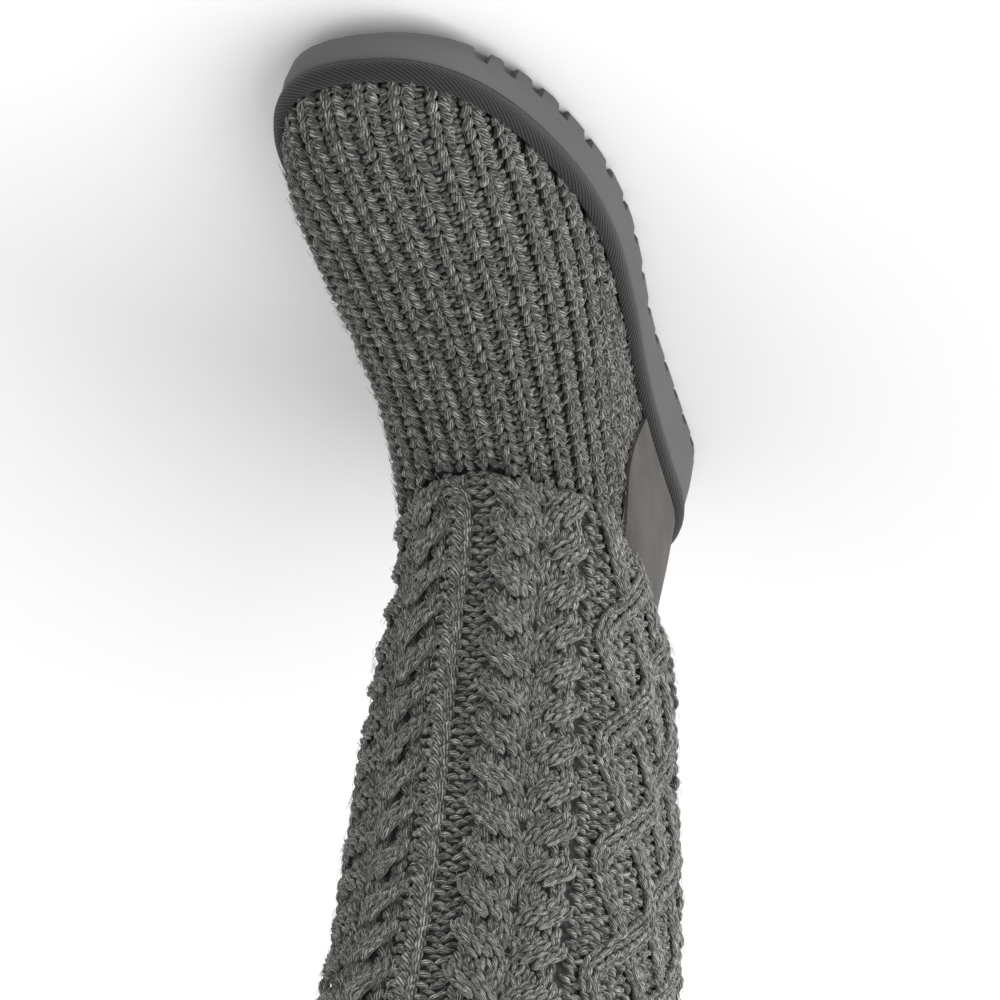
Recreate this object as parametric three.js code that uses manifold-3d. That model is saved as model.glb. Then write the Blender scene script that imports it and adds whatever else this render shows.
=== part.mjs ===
import * as THREE from "three";
import { mergeVertices } from "three/addons/utils/BufferGeometryUtils.js";
import Module from "manifold-3d";

const wasm = await Module();
wasm.setup();

// A right knit boot: ribbed foot, cable shaft, suede heel counter, bound edge and lugged sole.
// Lengths are millimetres. "along" runs forward from the back of the heel, "side" towards the little toe.

const SOLE_LENGTH = 268;
const GAP = 0.3;

// Plan of the sole: the edge on each side of the foot's line at a distance along it.
const SOLE_PLAN = [
  { along: 0, lateral: 0, medial: 0 },
  { along: 7, lateral: 20, medial: -20 },
  { along: 26, lateral: 32.5, medial: -33.5 },
  { along: 54, lateral: 36.6, medial: -37 },
  { along: 94, lateral: 41.5, medial: -36.5 },
  { along: 134, lateral: 49.6, medial: -38.5 },
  { along: 166, lateral: 54.6, medial: -45 },
  { along: 193, lateral: 54, medial: -50.5 },
  { along: 220, lateral: 47.8, medial: -51 },
  { along: 241, lateral: 39.3, medial: -45 },
  { along: 257, lateral: 27.5, medial: -34.3 },
  { along: 265.5, lateral: 14, medial: -20.5 },
  { along: 268, lateral: -3, medial: -3 },
];

// Height of the sole's upper face along the foot.
const SOLE_TOP = [
  { along: 0, height: 26.5 },
  { along: 60, height: 24 },
  { along: 110, height: 19 },
  { along: 165, height: 17 },
  { along: 215, height: 16.4 },
  { along: 245, height: 18.2 },
  { along: 268, height: 21.5 },
];

// Underside: flat heel, raised arch, flat forefoot, toe spring.
const HEEL_BEVEL_LENGTH = 14;
const HEEL_BEVEL_RISE = 2;
const ARCH_START = 80;
const ARCH_END = 146;
const ARCH_RISE = 2.5;
const SPRING_START = 202;
const TOE_SPRING = 9;

// Side wall of the sole: how far each level stands inside the plan.
const SOLE_WALL = [
  { share: 0, inset: 2.4 },
  { share: 0.14, inset: 0.6 },
  { share: 0.5, inset: 0 },
  { share: 0.9, inset: 0.3 },
  { share: 1, inset: 1.1 },
];

// Lugs: notches cut into the lower edge behind the smooth toe bumper.
const LUG_COUNT = 40;
const LUG_FIRST_TURN = 0.165;
const NOTCH_MOUTH = 8.8;
const NOTCH_ROOT = 5;
const NOTCH_HEIGHT = 6;
const NOTCH_REACH = 5;
const NOTCH_OVERHANG = 4;
const GROOVE_ALONGS = [22, 46, 68, 152, 168, 184, 200];
const GROOVE_WIDTH = 4;
const GROOVE_DEPTH = 3;
const GROOVE_HALF_SPAN = 26;

// Knit foot: wall, and how far its base stands inside the plan of the sole.
const KNIT_WALL = 4.6;
const FOOT_INSET = 4.6;
const ANKLE_HEIGHT = 97.5;
const ANKLE_FRONT_DROP = 2;
const ANKLE_CENTRE = 73;
const ANKLE_SIDE = 2.5;
const ANKLE_HALF_WIDTH = 39.5;
const ANKLE_HALF_LENGTH = 58;
const ANKLE_FAN = 0.6;
const OVAL_POWER = 0.86;

// Lines of the foot from the sole's edge up to the ankle, heel (share 0) to toe (share 1).
// rise and bulge shape the start of each line, forward, down and out shape its end.
const FOOT_LINES = [
  { share: 0, rise: 26, bulge: 2.5, forward: -2, down: 28, out: 0 },
  { share: 0.3, rise: 28, bulge: 1.5, forward: 2, down: 30, out: -1 },
  { share: 0.45, rise: 34, bulge: 1.5, forward: 14, down: 34, out: 5 },
  { share: 0.6, rise: 38, bulge: 1.5, forward: 40, down: 38, out: 7 },
  { share: 0.75, rise: 37, bulge: 2, forward: 58, down: 40, out: 5.5 },
  { share: 0.9, rise: 37, bulge: 2, forward: 66, down: 40, out: 2 },
  { share: 1, rise: 38, bulge: 2, forward: 67, down: 40, out: 0 },
];

// Bound edge round the base of the foot: its section as rise share and distance from the foot's skin.
const TAPE_HEIGHT = 8.2;
const TAPE_SECTION = [
  { rise: 0, out: 0.3 },
  { rise: 0, out: 3.4 },
  { rise: 0.14, out: 4.6 },
  { rise: 0.5, out: 5.2 },
  { rise: 0.82, out: 4.3 },
  { rise: 0.97, out: 2.4 },
  { rise: 1, out: 0.3 },
  { rise: 0.5, out: 0.3 },
];

// Suede heel counter: thickness and its front edge up the side of the foot.
const COUNTER_THICKNESS = 1.8;
const COUNTER_TOP_MARGIN = 1.2;
const COUNTER_EDGE = [
  { height: 24, along: 78 },
  { height: 34, along: 82.5 },
  { height: 46, along: 89 },
  { height: 58, along: 93.5 },
  { height: 66, along: 94 },
  { height: 76, along: 91 },
  { height: 112, along: 78 },
];
const CUTTER_HALF_WIDTH = 80;
const CUTTER_BEHIND = 30;
const CUTTER_STEPS = 10;

// Knit shaft: oval sections from the ankle seam (share 0) to the collar (share 1).
const SHAFT_TOP = 335;
const SHAFT_WALL = 5;
const SHAFT_SECTIONS = [
  { share: 0, halfWidth: 40.5, halfLength: 59.5, centreAlong: 73, centreSide: 4.2 },
  { share: 0.05, halfWidth: 43.8, halfLength: 61.5, centreAlong: 72, centreSide: 9 },
  { share: 0.12, halfWidth: 46, halfLength: 61.5, centreAlong: 70, centreSide: 11 },
  { share: 0.25, halfWidth: 49.2, halfLength: 62, centreAlong: 66, centreSide: 13.6 },
  { share: 0.45, halfWidth: 53, halfLength: 63, centreAlong: 62.5, centreSide: 20 },
  { share: 0.7, halfWidth: 55.2, halfLength: 64, centreAlong: 59, centreSide: 26.7 },
  { share: 1, halfWidth: 56.5, halfLength: 65, centreAlong: 57, centreSide: 30 },
];
// The shaft's rings stand closer together near the seam, where it puffs out.
const SHAFT_RING_CROWDING = 1.5;

// Footbed inside the foot.
const INSOLE_THICKNESS = 6;
const INSOLE_INSET = 10;
const INSOLE_EDGE = 1.5;

// Facets.
const PLAN_STEPS = 36;
const FOOT_RINGS = 12;
const SHAFT_STEPS = 48;
const SHAFT_RINGS = 13;
const TAPE_FINDING_STEPS = 24;
const TAPE_RISE_LIMIT = 0.5;
const SLOPE_STEP = 0.002;
const LEAST_RIM_LEAN = 0.7;
const WELD_DISTANCE = 1e-3;

// Smooth value of one column of a table, the rows ordered by the key column.
function tableValue(rows, key, column, at) {
  const last = rows.length - 1;
  const x = THREE.MathUtils.clamp(at, rows[0][key], rows[last][key]);
  let i = 0;
  while (i < last - 1 && x > rows[i + 1][key]) {
    i += 1;
  }
  const slope = (k) => {
    const a = rows[Math.max(k - 1, 0)];
    const b = rows[Math.min(k + 1, last)];
    return (b[column] - a[column]) / (b[key] - a[key]);
  };
  const span = rows[i + 1][key] - rows[i][key];
  const t = (x - rows[i][key]) / span;
  const from = rows[i][column];
  const to = rows[i + 1][column];
  const m0 = slope(i) * span;
  const m1 = slope(i + 1) * span;
  const t2 = t * t;
  const t3 = t2 * t;
  return (2 * t3 - 3 * t2 + 1) * from + (t3 - 2 * t2 + t) * m0 + (3 * t2 - 2 * t3) * to + (t3 - t2) * m1;
}

// Position in the part's frame: the toe points to -Y and the little toe to -X.
function place(side, along, height) {
  return new THREE.Vector3(-side, SOLE_LENGTH / 2 - along, height);
}

const alongOf = (point) => SOLE_LENGTH / 2 - point.y;

// The plan's rows with the distance along turned into a share that opens out the round ends.
const shareOf = (along) => Math.acos(1 - (2 * along) / SOLE_LENGTH) / Math.PI;
const PLAN_BY_SHARE = SOLE_PLAN.map((row) => ({ ...row, share: shareOf(row.along) }));

// Turn 0 is the back of the heel, 0.5 the little-toe side, 1 the toe tip, 1.5 the inner side.
function turnShare(turn) {
  const wrapped = THREE.MathUtils.euclideanModulo(turn, 2);
  return wrapped <= 1 ? wrapped : 2 - wrapped;
}

function turnIsLateral(turn) {
  return THREE.MathUtils.euclideanModulo(turn, 2) <= 1;
}

function planPoint(turn) {
  const share = turnShare(turn);
  const column = turnIsLateral(turn) ? "lateral" : "medial";
  const along = (SOLE_LENGTH * (1 - Math.cos(Math.PI * share))) / 2;
  return place(tableValue(PLAN_BY_SHARE, "share", column, share), along, 0);
}

function planNormal(turn) {
  const step = planPoint(turn + SLOPE_STEP).sub(planPoint(turn - SLOPE_STEP));
  return new THREE.Vector3(step.y, -step.x, 0).normalize();
}

function planInset(turn, inset) {
  return planPoint(turn).addScaledVector(planNormal(turn), -inset);
}

function soleTop(along) {
  return tableValue(SOLE_TOP, "along", "height", along);
}

function soleBottom(along) {
  if (along < HEEL_BEVEL_LENGTH) {
    return HEEL_BEVEL_RISE * ((HEEL_BEVEL_LENGTH - along) / HEEL_BEVEL_LENGTH) ** 2;
  }
  if (along > SPRING_START) {
    return TOE_SPRING * ((along - SPRING_START) / (SOLE_LENGTH - SPRING_START)) ** 2;
  }
  if (along > ARCH_START && along < ARCH_END) {
    const share = (along - ARCH_START) / (ARCH_END - ARCH_START);
    return ARCH_RISE * Math.sin(Math.PI * share) ** 2;
  }
  return 0;
}

const planTurns = Array.from({ length: 2 * PLAN_STEPS }, (_, i) => i / PLAN_STEPS);

// Height of the ankle seam, which drops a little to the front.
function seamHeight(along) {
  return ANKLE_HEIGHT - (ANKLE_FRONT_DROP * (along - ANKLE_CENTRE)) / ANKLE_HALF_LENGTH;
}

// Sine or cosine of an oval squarer than an ellipse.
function oval(value) {
  return Math.sign(value) * Math.abs(value) ** OVAL_POWER;
}

function anklePoint(turn) {
  const share = turnShare(turn);
  const angle = Math.PI * share + ANKLE_FAN * Math.sin(Math.PI * share);
  const reach = ANKLE_HALF_WIDTH * oval(Math.sin(angle));
  const side = ANKLE_SIDE + (turnIsLateral(turn) ? reach : -reach);
  const along = ANKLE_CENTRE - ANKLE_HALF_LENGTH * oval(Math.cos(angle));
  return place(side, along, seamHeight(along));
}

// Skin of the foot: rise 0 at the sole, 1 at the ankle seam.
function footSkin(turn, rise) {
  const share = turnShare(turn);
  const line = (column) => tableValue(FOOT_LINES, "share", column, share);
  const outward = planNormal(turn);
  const start = planInset(turn, FOOT_INSET);
  start.z = soleTop(alongOf(start)) + GAP;
  const lower = start.clone().addScaledVector(outward, line("bulge"));
  lower.z += line("rise");
  const end = anklePoint(turn);
  const upper = end.clone().addScaledVector(outward, line("out"));
  upper.y -= line("forward");
  upper.z -= line("down");
  return new THREE.CubicBezierCurve3(start, lower, upper, end).getPoint(rise);
}

function footNormal(turn, rise) {
  const low = Math.max(rise - SLOPE_STEP, 0);
  const high = Math.min(rise + SLOPE_STEP, 1);
  const round = footSkin(turn + SLOPE_STEP, rise).sub(footSkin(turn - SLOPE_STEP, rise));
  const up = footSkin(turn, high).sub(footSkin(turn, low));
  return round.cross(up).normalize();
}

// A point off the skin of the foot; the two rims stay in the sole's face and in the seam's plane.
function footOffset(turn, rise, distance) {
  const skin = footSkin(turn, rise);
  const normal = footNormal(turn, rise);
  if (rise > 0 && rise < 1) {
    return skin.addScaledVector(normal, distance);
  }
  const flat = new THREE.Vector3(normal.x, normal.y, 0);
  const lean = Math.max(flat.length(), LEAST_RIM_LEAN);
  const moved = skin.addScaledVector(flat.normalize(), distance / lean);
  moved.z = rise === 0 ? soleTop(alongOf(moved)) + GAP : seamHeight(alongOf(moved));
  return moved;
}

const footRises = Array.from({ length: FOOT_RINGS + 1 }, (_, i) => i / FOOT_RINGS);

function footRings(distance) {
  return footRises.map((rise) => planTurns.map((turn) => footOffset(turn, rise, distance)));
}

function meshGeometry(points, triangles) {
  const geometry = new THREE.BufferGeometry().setFromPoints(points);
  geometry.setIndex(triangles);
  return geometry;
}

// Wall between neighbouring rings, which run anticlockwise seen from above.
function ringWall(rings, closed) {
  const count = rings[0].length;
  const triangles = [];
  const bands = closed ? rings.length : rings.length - 1;
  for (let r = 0; r < bands; r += 1) {
    const low = r * count;
    const high = ((r + 1) % rings.length) * count;
    for (let i = 0; i < count; i += 1) {
      const j = (i + 1) % count;
      triangles.push(low + i, low + j, high + j);
      triangles.push(low + i, high + j, high + i);
    }
  }
  return triangles;
}

// A body with a hole through it: rings up the outside and down the inside.
function hollowBody(outer, inner) {
  const rings = [...outer, ...inner.slice().reverse()];
  return meshGeometry(rings.flat(), ringWall(rings, true));
}

// A full body: rings from the underside to the top, each end closed by strips across the foot.
function fullBody(rings) {
  const count = rings[0].length;
  const half = count / 2;
  const triangles = ringWall(rings, false);
  const topStart = (rings.length - 1) * count;
  for (let i = 0; i < half; i += 1) {
    const lateral = [i, i + 1];
    const medial = [(count - i) % count, count - i - 1];
    if (i < half - 1) {
      triangles.push(lateral[0], medial[1], lateral[1]);
      triangles.push(topStart + lateral[0], topStart + lateral[1], topStart + medial[1]);
    }
    if (i > 0) {
      triangles.push(lateral[0], medial[0], medial[1]);
      triangles.push(topStart + lateral[0], topStart + medial[1], topStart + medial[0]);
    }
  }
  return meshGeometry(rings.flat(), triangles);
}

function solid(geometry) {
  const bare = new THREE.BufferGeometry();
  bare.setAttribute("position", geometry.getAttribute("position"));
  bare.setIndex(geometry.index);
  const merged = mergeVertices(bare, WELD_DISTANCE);
  const vertProperties = merged.attributes.position.array;
  const triVerts = new Uint32Array(merged.index.array);
  return new wasm.Manifold(new wasm.Mesh({ numProp: 3, vertProperties, triVerts }));
}

function geometryOf(body) {
  const made = body.getMesh();
  const geometry = new THREE.BufferGeometry();
  geometry.setAttribute("position", new THREE.BufferAttribute(made.vertProperties, 3));
  geometry.setIndex(new THREE.BufferAttribute(made.triVerts, 1));
  return geometry;
}

function wallRing(row) {
  return planTurns.map((turn) => {
    const point = planInset(turn, row.inset);
    const along = alongOf(point);
    point.z = THREE.MathUtils.lerp(soleBottom(along), soleTop(along), row.share);
    return point;
  });
}

// A notch between two lugs: a tapered block pushed in from the sole's lower edge.
function notch(turn) {
  const profile = new THREE.Shape();
  profile.moveTo(-NOTCH_MOUTH / 2, -NOTCH_OVERHANG);
  profile.lineTo(NOTCH_MOUTH / 2, -NOTCH_OVERHANG);
  profile.lineTo(NOTCH_ROOT / 2, NOTCH_HEIGHT);
  profile.lineTo(-NOTCH_ROOT / 2, NOTCH_HEIGHT);
  const depth = NOTCH_REACH + NOTCH_OVERHANG;
  const block = new THREE.ExtrudeGeometry(profile, { depth, bevelEnabled: false });
  const inward = planNormal(turn).negate();
  const up = new THREE.Vector3(0, 0, 1);
  const across = new THREE.Vector3().crossVectors(up, inward);
  const frame = new THREE.Matrix4().makeBasis(across, up, inward);
  const mouth = planInset(turn, -NOTCH_OVERHANG);
  mouth.z = soleBottom(alongOf(planPoint(turn)));
  frame.setPosition(mouth);
  return block.applyMatrix4(frame);
}

function groove(along) {
  const block = new THREE.BoxGeometry(2 * GROOVE_HALF_SPAN, GROOVE_WIDTH, 2 * GROOVE_DEPTH);
  const middle = place(0, along, soleBottom(along));
  return block.translate(middle.x, middle.y, middle.z);
}

function outsoleBody() {
  let body = solid(fullBody(SOLE_WALL.map(wallRing)));
  const free = 2 - 2 * LUG_FIRST_TURN;
  for (let i = 0; i < LUG_COUNT; i += 1) {
    const turn = 1 + LUG_FIRST_TURN + (free * i) / (LUG_COUNT - 1);
    body = body.subtract(solid(notch(turn)));
  }
  for (const along of GROOVE_ALONGS) {
    body = body.subtract(solid(groove(along)));
  }
  return geometryOf(body);
}

function footBody() {
  return hollowBody(footRings(0), footRings(-KNIT_WALL));
}

// Where on a line of the foot the skin stands a given height above the sole.
function riseAt(turn, height) {
  const base = footSkin(turn, 0).z;
  let low = 0;
  let high = TAPE_RISE_LIMIT;
  for (let i = 0; i < TAPE_FINDING_STEPS; i += 1) {
    const middle = (low + high) / 2;
    if (footSkin(turn, middle).z - base < height) {
      low = middle;
    } else {
      high = middle;
    }
  }
  return low;
}

function tapeBody() {
  const rings = TAPE_SECTION.map((row) =>
    planTurns.map((turn) => {
      const rise = riseAt(turn, row.rise * TAPE_HEIGHT);
      const point = footSkin(turn, rise);
      const outward = planNormal(turn);
      const height = point.z;
      point.addScaledVector(outward, row.out);
      point.z = row.rise === 0 ? soleTop(alongOf(point)) + GAP : height;
      return point;
    }),
  );
  return hollowBody(rings, []);
}

const counterLow = (along) => soleTop(along) + GAP + TAPE_HEIGHT + GAP;
const counterHigh = (along) => seamHeight(along) - COUNTER_TOP_MARGIN;

// Side view of the counter, carried across the heel.
function counterCutter() {
  const outline = new THREE.Shape();
  const frontAt = (height) => tableValue(COUNTER_EDGE, "height", "along", height);
  const frontLow = frontAt(counterLow(frontAt(counterLow(COUNTER_EDGE[0].along))));
  outline.moveTo(-CUTTER_BEHIND, counterLow(-CUTTER_BEHIND));
  for (let i = 0; i <= CUTTER_STEPS; i += 1) {
    const along = (frontLow * i) / CUTTER_STEPS;
    outline.lineTo(along, counterLow(along));
  }
  const from = counterLow(frontLow);
  const to = counterHigh(COUNTER_EDGE[COUNTER_EDGE.length - 1].along);
  for (let i = 1; i <= CUTTER_STEPS; i += 1) {
    const height = THREE.MathUtils.lerp(from, to, i / CUTTER_STEPS);
    outline.lineTo(frontAt(height), height);
  }
  outline.lineTo(-CUTTER_BEHIND, counterHigh(-CUTTER_BEHIND));
  const depth = 2 * CUTTER_HALF_WIDTH;
  const block = new THREE.ExtrudeGeometry(outline, { depth, bevelEnabled: false });
  const forward = new THREE.Vector3(0, -1, 0);
  const up = new THREE.Vector3(0, 0, 1);
  const across = new THREE.Vector3().crossVectors(forward, up);
  const frame = new THREE.Matrix4().makeBasis(forward, up, across);
  frame.setPosition(CUTTER_HALF_WIDTH, SOLE_LENGTH / 2, 0);
  return block.applyMatrix4(frame);
}

function counterBody() {
  const sleeve = solid(hollowBody(footRings(GAP + COUNTER_THICKNESS), footRings(GAP)));
  return geometryOf(sleeve.intersect(solid(counterCutter())));
}

function shaftRing(share, wall) {
  const value = (column) => tableValue(SHAFT_SECTIONS, "share", column, share);
  return Array.from({ length: SHAFT_STEPS }, (_, i) => {
    const angle = (2 * Math.PI * i) / SHAFT_STEPS;
    const side = value("centreSide") + (value("halfWidth") - wall) * oval(Math.sin(angle));
    const along = value("centreAlong") - (value("halfLength") - wall) * oval(Math.cos(angle));
    const height = THREE.MathUtils.lerp(seamHeight(along) + GAP, SHAFT_TOP, share);
    return place(side, along, height);
  });
}

function shaftBody() {
  const last = SHAFT_RINGS - 1;
  const shares = Array.from({ length: SHAFT_RINGS }, (_, i) => (i / last) ** SHAFT_RING_CROWDING);
  const outer = shares.map((share) => shaftRing(share, 0));
  const inner = shares.map((share) => shaftRing(share, SHAFT_WALL));
  return hollowBody(outer, inner);
}

function insoleBody() {
  const ring = (inset, rise) =>
    planTurns.map((turn) => {
      const point = planInset(turn, inset);
      point.z = soleTop(alongOf(point)) + GAP + rise;
      return point;
    });
  const low = ring(INSOLE_INSET, 0);
  const shoulder = ring(INSOLE_INSET, INSOLE_THICKNESS - INSOLE_EDGE);
  const top = ring(INSOLE_INSET + INSOLE_EDGE, INSOLE_THICKNESS);
  return fullBody([low, shoulder, top]);
}

function piece(name, geometry, color, roughness) {
  const material = new THREE.MeshStandardMaterial({ color, roughness, metalness: 0 });
  const mesh = new THREE.Mesh(geometry, material);
  mesh.name = name;
  return mesh;
}

const boot = new THREE.Group();
boot.name = "knit_boot";
boot.add(piece("outsole", outsoleBody(), 0x5c5c5e, 0.75));
boot.add(piece("insole", insoleBody(), 0x8a8580, 1));
boot.add(piece("foot_upper", footBody(), 0x5f5f61, 0.95));
boot.add(piece("binding_tape", tapeBody(), 0x454547, 0.9));
boot.add(piece("heel_counter", counterBody(), 0x736e68, 0.95));
boot.add(piece("shaft", shaftBody(), 0x636365, 0.95));

const span = new THREE.Box3().setFromObject(boot);
const middle = span.getCenter(new THREE.Vector3());
boot.children.forEach((mesh) => mesh.position.set(-middle.x, -middle.y, -span.min.z));

export default boot;
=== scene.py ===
"""Knit boot: rib-knit foot, cable-knit shaft, suede heel counter, bound edge and lugged foam sole."""

import math

import bmesh
import bpy
import numpy as np
from bpy.props import FloatProperty, FloatVectorProperty, PointerProperty
from mathutils import Matrix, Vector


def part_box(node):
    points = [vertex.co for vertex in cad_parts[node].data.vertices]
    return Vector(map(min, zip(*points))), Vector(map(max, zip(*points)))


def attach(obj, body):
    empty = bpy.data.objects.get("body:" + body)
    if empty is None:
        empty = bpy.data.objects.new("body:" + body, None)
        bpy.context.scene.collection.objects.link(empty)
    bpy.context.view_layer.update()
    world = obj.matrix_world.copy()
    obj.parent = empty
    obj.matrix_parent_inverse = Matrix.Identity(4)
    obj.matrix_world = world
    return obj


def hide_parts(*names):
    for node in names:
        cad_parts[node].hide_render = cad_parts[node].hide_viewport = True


bl_info = {
    "name": "Knit Boot",
    "version": (1, 0, 0),
    "blender": (4, 5, 0),
    "location": "View3D > Sidebar > Boot",
    "description": "Makes the visible pieces of a knit boot round its packed solids",
    "category": "Object",
}

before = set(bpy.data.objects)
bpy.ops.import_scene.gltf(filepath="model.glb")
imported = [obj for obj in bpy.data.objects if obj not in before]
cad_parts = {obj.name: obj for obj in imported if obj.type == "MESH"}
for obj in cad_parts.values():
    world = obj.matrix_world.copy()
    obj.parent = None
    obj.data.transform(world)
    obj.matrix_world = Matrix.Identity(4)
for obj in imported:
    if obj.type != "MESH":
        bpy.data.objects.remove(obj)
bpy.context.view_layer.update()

MM = 0.001
SEED = 11
UP = np.array([0.0, 0.0, 1.0])


def table(columns, *rows):
    """Named columns of a short table."""
    return dict(zip(columns.split(), np.array(rows, float).T))


# The boot's own sizes in millimetres: along runs forward from the heel, side towards the little toe.
SOLE_LENGTH = 268.0
GAP = 0.3
SOLE_PLAN = table(
    "along lateral medial",
    (0, 0, 0),
    (7, 20, -20),
    (26, 32.5, -33.5),
    (54, 36.6, -37),
    (94, 41.5, -36.5),
    (134, 49.6, -38.5),
    (166, 54.6, -45),
    (193, 54, -50.5),
    (220, 47.8, -51),
    (241, 39.3, -45),
    (257, 27.5, -34.3),
    (265.5, 14, -20.5),
    (268, -3, -3),
)
SOLE_PLAN["share"] = np.arccos(1 - 2 * SOLE_PLAN["along"] / SOLE_LENGTH) / math.pi
SOLE_TOP = table(
    "along height",
    (0, 26.5),
    (60, 24),
    (110, 19),
    (165, 17),
    (215, 16.4),
    (245, 18.2),
    (268, 21.5),
)
FOOT_LINES = table(
    "share rise bulge forward down out",
    (0, 26, 2.5, -2, 28, 0),
    (0.3, 28, 1.5, 2, 30, -1),
    (0.45, 34, 1.5, 14, 34, 5),
    (0.6, 38, 1.5, 40, 38, 7),
    (0.75, 37, 2, 58, 40, 5.5),
    (0.9, 37, 2, 66, 40, 2),
    (1, 38, 2, 67, 40, 0),
)
TAPE_SECTION = table(
    "rise out girth",
    (0, 0.3, 0),
    (0, 3.4, 3),
    (0.14, 4.6, 4.6),
    (0.5, 5.2, 7.8),
    (0.82, 4.3, 10.8),
    (0.97, 2.4, 12.9),
    (1, 0.3, 15),
    (0.5, 0.3, 19),
)
TAPE_GIRTH = 23.0
TAPE_OUTERMOST = 3
COUNTER_EDGE = table(
    "height along", (24, 78), (34, 82.5), (46, 89), (58, 93.5), (66, 94), (76, 91), (112, 78)
)
SHAFT_SECTIONS = table(
    "share half_width half_length centre_along centre_side",
    (0, 40.5, 59.5, 73, 4.2),
    (0.05, 43.8, 61.5, 72, 9),
    (0.12, 46, 61.5, 70, 11),
    (0.25, 49.2, 62, 66, 13.6),
    (0.45, 53, 63, 62.5, 20),
    (0.7, 55.2, 64, 59, 26.7),
    (1, 56.5, 65, 57, 30),
)
FOOT_INSET = 4.6
KNIT_WALL = 4.6
FOOT_GROUND = 3.5
SHAFT_WALL = 5.0
SHAFT_GROUND = 3.2
LINING_PILE = 0.6
SHAFT_TOP = 335.0
TAPE_HEIGHT = 8.2
TAPE_OVERLAP = 4.5
COUNTER_OVERLAP = 3.0
ANKLE_HEIGHT = 97.5
SHAFT_HEIGHT = SHAFT_TOP - ANKLE_HEIGHT
ANKLE_FRONT_DROP = 2.0
ANKLE_CENTRE = 73.0
ANKLE_SIDE = 2.5
ANKLE_HALF_WIDTH = 39.5
ANKLE_HALF_LENGTH = 58.0
ANKLE_FAN = 0.6
OVAL_POWER = 0.86
PLAN_STEPS = 36
TAPE_STEPS = 120
FOOT_STEPS, FOOT_RINGS = 80, 41
SHAFT_COLUMNS, SHAFT_RINGS = 132, 48
SLOPE_STEP = 0.002

# The foot's ribs: how many lie on each side of the middle one, how they widen, how far they drift to the big toe,
# their legs, and how their ends are carried up to the ankle seam.
RIB_END = 0.983
RIB_COUNT = 13
RIB_FAN_ANKLE = 0.86
RIB_FAN_TOE = 1.32
RIB_DRIFT = 12.0
RIB_STATIONS = 110
RIB_TURNS = (0.22, 1.78, 313)
RIB_RISES = (0, 1, 161)
RIB_OUT, RIB_IN = 0.315, 0.03
RIB_BACK, RIB_AHEAD = 0.58, 0.67
RIB_OUT_SINK, RIB_IN_SINK = 1.8, 1.5
RIB_LEG_WIDTH, RIB_LEG_THICK, RIB_LEG_ARCH = 3.1, 3.4, 1.1
RIB_JITTER = 0.22
SEAM_STEP, SEAM_STEPS = 0.02, 40
SEAM_RISE = 0.995
SEAM_TURNS = (0.16, 1.84)
VALLEY_DEPTH = 3.0
VALLEY_HALF = 0.17
VALLEY_SWAY = 0.05
VALLEY_LEG = {"width": 2.0, "thick": 1.7, "lift": 0.5}
VALLEY_JITTER = 0.25

# The shaft's soft lower edge: its swell and sag over the foot, and the hollow above it on the big-toe side.
# A place, round the chart, and a band, above the seam, are each a middle and a width.
EDGE_SWELL = 1.0
FRONT_SWELL = 2.6
CORNER_SWELL = 3.6
CORNER_SAG = 5.5
HOLLOW_DEPTH = 1.8
FRONT_PLACE = (0, 45)
CORNER_PLACE = (58, 26)
HOLLOW_PLACE = (-80, 36)
SWELL_BAND = (2, 9)
SAG_BAND = (0, 15)
HOLLOW_BAND = (28, 30)

# Camera measured against the photo: degrees round from the toe towards the little toe, above the floor, rolled.
CAMERA_TURN = 29.2
CAMERA_RISE = 34.7
CAMERA_ROLL = 194.8
CAMERA_DISTANCE = 1797.0
CAMERA_LENS = 185.5
CAMERA_AIM = (3.0, 107.0, 85.0)

# White light from all round; the camera sees the same white at full strength behind the floor.
AMBIENT = 0.6

# Half of the shaft's girth in chart millimetres, from the middle of the front to the middle of the back.
HALF_GIRTH = 182.0


def curve(rows, key, column, at):
    """Smooth value of one column at the given keys."""
    x = rows[key]
    y = rows[column]
    last = len(x) - 1
    low = np.maximum(np.arange(last + 1) - 1, 0)
    high = np.minimum(np.arange(last + 1) + 1, last)
    slope = (y[high] - y[low]) / (x[high] - x[low])
    at = np.clip(np.asarray(at, float), x[0], x[-1])
    i = np.clip(np.searchsorted(x, at, side="left") - 1, 0, last - 1)
    span = x[i + 1] - x[i]
    t = (at - x[i]) / span
    t2 = t * t
    t3 = t2 * t
    start = (2 * t3 - 3 * t2 + 1) * y[i] + (t3 - 2 * t2 + t) * slope[i] * span
    return start + (3 * t2 - 2 * t3) * y[i + 1] + (t3 - t2) * slope[i + 1] * span


def unit(v):
    """Rows scaled to length one."""
    return v / np.maximum(np.linalg.norm(v, axis=-1, keepdims=True), 1e-9)


def arc_length(points):
    """Distance along a row of points from the first."""
    return np.concatenate([[0], np.cumsum(np.linalg.norm(np.diff(points, axis=0), axis=1))])


def plan_flat(turn):
    """Side and along of the sole's plan; turn 0 is the heel, 1 the toe, 2 the heel again."""
    wrapped = np.mod(turn, 2.0)
    share = np.where(wrapped <= 1, wrapped, 2 - wrapped)
    along = SOLE_LENGTH * (1 - np.cos(math.pi * share)) / 2
    lateral = curve(SOLE_PLAN, "share", "lateral", share)
    medial = curve(SOLE_PLAN, "share", "medial", share)
    return np.where(wrapped <= 1, lateral, medial), along, share, wrapped <= 1


def full_turn(steps):
    """Turns at even steps once round the plan, so many to a side."""
    return np.arange(2 * steps) / steps


SOLE_LOW, SOLE_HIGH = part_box("outsole")
SHIFT_X = SOLE_LOW[0] / MM + plan_flat(full_turn(PLAN_STEPS))[0].max()
HEEL_Y = SOLE_HIGH[1] / MM


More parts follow.
